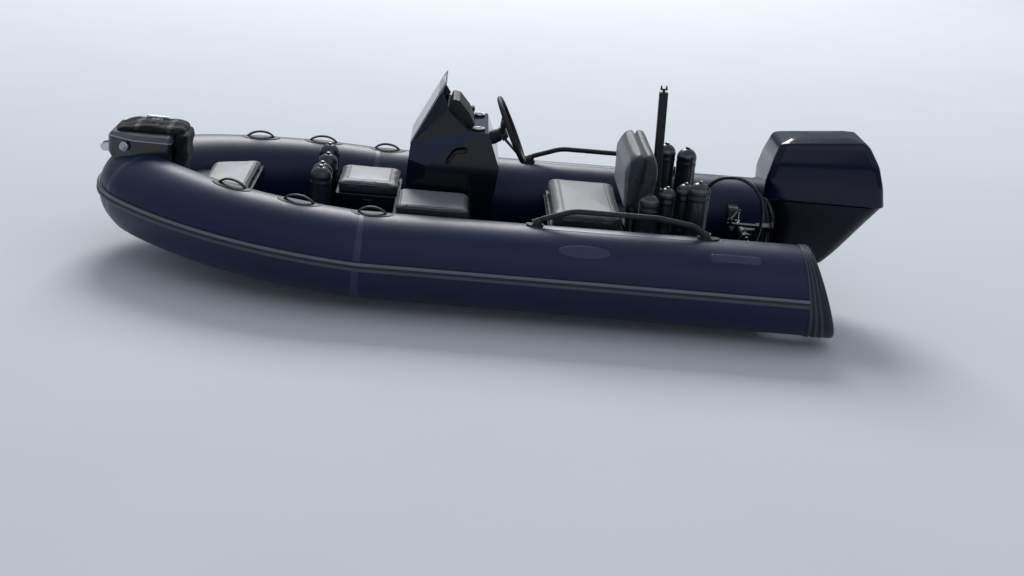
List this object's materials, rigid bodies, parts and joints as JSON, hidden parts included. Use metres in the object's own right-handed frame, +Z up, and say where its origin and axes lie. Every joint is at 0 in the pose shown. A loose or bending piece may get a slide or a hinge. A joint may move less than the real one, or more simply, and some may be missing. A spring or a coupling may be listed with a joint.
{
  "type": "inflatable rib boat",
  "caption": "Rigid-hulled inflatable boat with side tubes, console, padded seats, hand rails, light mast, fenders and a tilting, steering outboard motor.",
  "frame": {"origin": "on the centreline at the waterline, midway between the bow and the tubes' stern ends", "axes": "+X to the bow, +Y to port, +Z up"},
  "size_m": [4.2335, 1.876, 1.7117],
  "materials": {
    "tube_fabric": "satin coated fabric",
    "strake_grey": "satin rubber",
    "black_rubber": "matt rubber",
    "hull_grp": "gloss gelcoat",
    "deck_grp": "satin gelcoat",
    "console_grp": "satin gelcoat",
    "vinyl_grey": "soft upholstery",
    "stainless": "polished",
    "cover_cloth": "folded cloth",
    "nylon_black": "moulded",
    "lamp_white": "clear lens over white",
    "screen_smoke": "smoked acrylic",
    "instrument": "dial under glass",
    "wheel_soft": "soft grip",
    "fender_vinyl": "glossy vinyl",
    "motor_black": "high gloss",
    "motor_case": "satin",
    "cast_alloy": "as cast"
  },
  "bodies": {
    "boat": {"tube_port": "tube_fabric", "tube_starboard": "tube_fabric", "tube_bow": "tube_fabric", "tube_caps": "black_rubber", "rub_strake": "strake_grey", "hull": "hull_grp", "transom": "deck_grp", "bow_locker": "deck_grp", "bow_cushion": "vinyl_grey", "bow_step": "console_grp", "roller_cheeks": "stainless", "bow_cleat": "nylon_black", "bow_lights": "lamp_white", "bow_bundle": "cover_cloth", "grips_port": "black_rubber", "grips_starboard": "black_rubber", "rail_port": "nylon_black", "rail_starboard": "nylon_black", "front_seat_box": "deck_grp", "side_seat_box": "deck_grp", "side_cushion": "vinyl_grey", "console": "console_grp", "windscreen": "screen_smoke", "screen_frame": "nylon_black", "dash_pod": "console_grp", "gauges": "instrument", "console_grip": "nylon_black", "helm_column": "nylon_black", "throttle": "nylon_black", "helm_seat_box": "deck_grp", "backrest": "vinyl_grey", "backrest_frame": "nylon_black", "aft_locker": "deck_grp", "light_mast": "nylon_black", "mast_light": "lamp_white", "bow_fenders": "fender_vinyl", "port_fenders": "fender_vinyl", "starboard_fenders": "fender_vinyl", "steering_hose": "black_rubber", "clamp_bracket": "motor_case"},
    "front_lid": {"front_seat_lid": "deck_grp", "front_cushion": "vinyl_grey"},
    "helm_lid": {"helm_seat_lid": "deck_grp", "helm_cushion": "vinyl_grey"},
    "roller": {"bow_roller": "black_rubber"},
    "wheel": {"steering_wheel": "wheel_soft"},
    "tilt_unit": {"swivel_bracket": "motor_case"},
    "motor": {"steering_yoke": "motor_case", "cowl_top": "motor_black", "cowl_lower": "motor_case", "powerhead": "cast_alloy", "leg": "motor_case", "gearcase": "motor_case"},
    "screw": {"propeller": "cast_alloy"},
    "drag_link": {"steering_link": "stainless"},
    "ram": {"steering_ram": "stainless"}
  },
  "joints": [
    {"name": "front_lid_hinge", "type": "hinge", "parent": "boat", "child": "front_lid", "pos_m": [0.4635, -0.296, 0.421], "axis": [1, 0, 0], "range_deg": [0, 100]},
    {"name": "helm_lid_hinge", "type": "hinge", "parent": "boat", "child": "helm_lid", "pos_m": [-0.507, -0.01, 0.399], "axis": [0, 1, 0], "range_deg": [0, 80]},
    {"name": "bow_roller_spin", "type": "hinge", "parent": "boat", "child": "roller", "pos_m": [1.886, 0, 0.556], "axis": [0, 1, 0], "continuous": true},
    {"name": "outboard_tilt", "type": "hinge", "parent": "boat", "child": "tilt_unit", "pos_m": [-1.6, 0, 0.362], "axis": [0, 1, 0], "range_deg": [0, 60]},
    {"name": "outboard_steer", "type": "hinge", "parent": "tilt_unit", "child": "motor", "pos_m": [-1.694, 0, 0.2], "axis": [0, 0, 1], "range_deg": [-30, 30]},
    {"name": "propeller_spin", "type": "hinge", "parent": "motor", "child": "screw", "pos_m": [-2.04, 0, -0.388], "axis": [1, 0, 0], "continuous": true},
    {"name": "steering_wheel_turn", "type": "hinge", "parent": "boat", "child": "wheel", "pos_m": [-0.281, -0.105, 0.806], "axis": [-0.9003, 0, 0.4352], "range_deg": [-630, 630]},
    {"name": "drag_link_pivot", "type": "hinge", "parent": "motor", "child": "drag_link", "pos_m": [-1.516, 0, 0.431], "axis": [0, 0, 1], "range_deg": [-30, 30]},
    {"name": "steering_ram_slide", "type": "slide", "parent": "tilt_unit", "child": "ram", "axis": [0, 1, 0], "range_m": [-0.09, 0.09]}
  ],
  "couplings": [
    {"joint": "steering_wheel_turn", "follows": "outboard_steer", "ratio": -21},
    {"joint": "drag_link_pivot", "follows": "outboard_steer", "ratio": -1},
    {"joint": "steering_ram_slide", "follows": "outboard_steer", "m_per_rad": 0.17}
  ]
}
